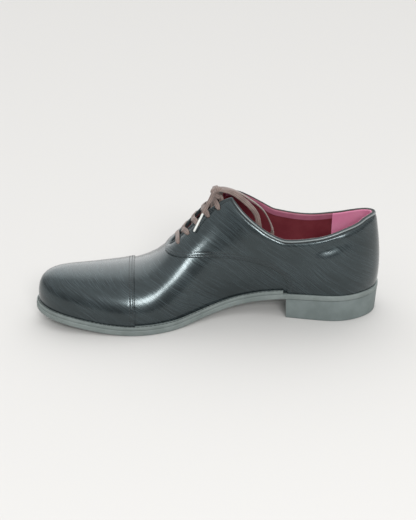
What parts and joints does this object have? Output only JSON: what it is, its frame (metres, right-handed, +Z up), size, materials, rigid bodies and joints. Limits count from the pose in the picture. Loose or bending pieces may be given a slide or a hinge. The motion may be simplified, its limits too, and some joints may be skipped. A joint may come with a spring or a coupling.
{
  "type": "cap toe oxford shoe",
  "caption": "Right cap toe oxford in polished dark calf with closed lacing, flat laces, block heel and welted sole, empty and standing.",
  "frame": {"origin": "on the floor, under the middle of the sole's outline", "axes": "+X to the toe, +Y to the medial side of this right shoe, +Z up"},
  "size_m": [0.3001, 0.1068, 0.1119],
  "materials": {
    "upper_leather": "polished calf, near black",
    "lining_leather": "plain dyed lining",
    "sole_leather": "smooth grey stained sole",
    "heel_rubber": "smooth matt grey",
    "lace_cotton": "flat waxed weave",
    "lace_tip": "clear film"
  },
  "bodies": {
    "root": {"upper": "upper_leather", "quarter_medial": "upper_leather", "quarter_lateral": "upper_leather", "toe_cap": "upper_leather", "tongue": "upper_leather", "insole": "lining_leather", "welt": "sole_leather", "outsole": "sole_leather", "heel": "heel_rubber", "lace_bar": "lace_cotton", "lace_cross_1": "lace_cotton", "lace_cross_2": "lace_cotton", "lace_cross_3": "lace_cotton", "lace_cross_4": "lace_cotton", "lace_knot": "lace_cotton", "lace_loop_inside": "lace_cotton", "lace_end_medial": "lace_cotton", "lace_tip_medial": "lace_tip"}
  },
  "joints": []
}
